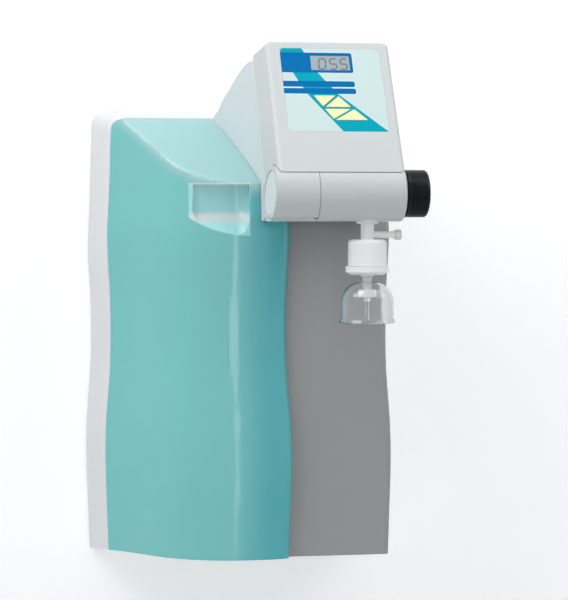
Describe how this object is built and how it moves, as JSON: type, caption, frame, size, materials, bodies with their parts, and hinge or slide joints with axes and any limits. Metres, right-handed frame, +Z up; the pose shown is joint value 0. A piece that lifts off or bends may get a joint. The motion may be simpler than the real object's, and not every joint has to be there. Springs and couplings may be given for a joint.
{
  "type": "ultrapure water system",
  "caption": "Wall-hung laboratory water purifier with a wavy shell, a lift-off aqua cover, a leaning keypad head on a neck and a dispense barrel with knob, sterile filter and bell.",
  "frame": {"origin": "middle of the wall bracket screw pattern, on the wall plane", "axes": "+Z up, +Y into the wall, -Y out of the front, +X to the viewer's right"},
  "size_m": [0.3113, 0.3617, 0.5435],
  "materials": {
    "shell_white": "fine matt",
    "panel_grey": "fine matt",
    "cover_aqua": "smooth, translucent",
    "head_pale": "satin",
    "cap_white": "satin",
    "barrel_pale": "satin",
    "keypad_film": "smooth film",
    "lcd_glass": "gloss",
    "key_yellow": "smooth film",
    "knob_black": "gloss, finely ringed",
    "collar_grey": "satin",
    "milky": "milky",
    "vent_white": "satin",
    "pack_white": "pleated",
    "bell_clear": "clear",
    "steel": "brushed",
    "zinc": "powder coated",
    "tank_natural": "natural",
    "lid_blue": "satin",
    "cartridge_white": "smooth",
    "clip_grey": "satin",
    "lamp_steel": "brushed",
    "pump_black": "coated",
    "supply_metal": "plain",
    "board_green": "board",
    "spacer_brass": "turned",
    "fitting_white": "smooth",
    "inlet_black": "fine matt",
    "seal_black": "smooth",
    "valve_white": "satin"
  },
  "bodies": {
    "unit": {"wall_bracket": "steel", "hanger_rail": "zinc", "rail_screws": "steel", "back_shell": "shell_white", "chassis_plate": "zinc", "chassis_screws": "steel", "front_panel": "panel_grey", "feed_tank": "tank_natural", "tank_lid": "lid_blue", "level_probe": "steel", "pretreatment_cartridge": "cartridge_white", "polishing_cartridge": "cartridge_white", "cartridge_clips": "clip_grey", "uv_lamp": "lamp_steel", "membrane_module": "cartridge_white", "module_clips": "clip_grey", "booster_pump": "pump_black", "circulation_pump": "pump_black", "power_supply": "supply_metal", "control_board": "board_green", "board_spacers": "spacer_brass", "solenoid_valve": "inlet_black", "feed_fittings": "fitting_white", "power_inlet": "inlet_black", "switch_frame": "inlet_black", "neck_housing": "head_pale", "head_flange": "head_pale", "head_cap": "cap_white", "keypad_membrane": "keypad_film", "lcd_window": "lcd_glass", "lcd_module": "collar_grey", "key_board": "board_green", "left_sleeve": "barrel_pale", "left_keel": "barrel_pale", "end_disc": "barrel_pale", "right_sleeve": "barrel_pale", "valve_body": "valve_white", "spindle_seal": "seal_black", "knob_collar": "seal_black", "outlet_boss": "barrel_pale", "filter_top": "milky", "filter_pack": "pack_white", "filter_base": "milky", "bell": "bell_clear", "nozzle": "vent_white", "key_switches": "inlet_black"},
    "cover": {"front_cover": "cover_aqua"},
    "dispense_knob": {"knob": "knob_black", "valve_spindle": "steel"},
    "vent": {"vent_knob": "vent_white"},
    "rocker": {"rocker_switch": "inlet_black"},
    "key_1": {"key_1": "key_yellow"},
    "key_2": {"key_2": "key_yellow"},
    "key_3": {"key_3": "key_yellow"},
    "key_4": {"key_4": "key_yellow"}
  },
  "joints": [
    {"name": "cover_slide", "type": "slide", "parent": "unit", "child": "cover", "axis": [0, -1, 0], "range_m": [0, 0.06]},
    {"name": "knob_turn", "type": "hinge", "parent": "unit", "child": "dispense_knob", "pos_m": [0.138, -0.334, -0.0383], "axis": [1, 0, 0], "range_deg": [0, 270]},
    {"name": "vent_turn", "type": "hinge", "parent": "unit", "child": "vent", "pos_m": [0.122, -0.334, -0.0786], "axis": [1, 0, 0], "range_deg": [0, 180]},
    {"name": "rocker_tilt", "type": "hinge", "parent": "unit", "child": "rocker", "pos_m": [0.052, -0.06, -0.42282], "axis": [1, 0, 0], "range_deg": [0, 16]},
    {"name": "key_1_press", "type": "slide", "parent": "unit", "child": "key_1", "axis": [0, 0.8536, -0.521], "range_m": [0, 0.0004], "stiffness_N_per_m": 600},
    {"name": "key_2_press", "type": "slide", "parent": "unit", "child": "key_2", "axis": [0, 0.8536, -0.521], "range_m": [0, 0.0004], "stiffness_N_per_m": 600},
    {"name": "key_3_press", "type": "slide", "parent": "unit", "child": "key_3", "axis": [0, 0.8536, -0.521], "range_m": [0, 0.0004], "stiffness_N_per_m": 600},
    {"name": "key_4_press", "type": "slide", "parent": "unit", "child": "key_4", "axis": [0, 0.8536, -0.521], "range_m": [0, 0.0004], "stiffness_N_per_m": 600}
  ]
}
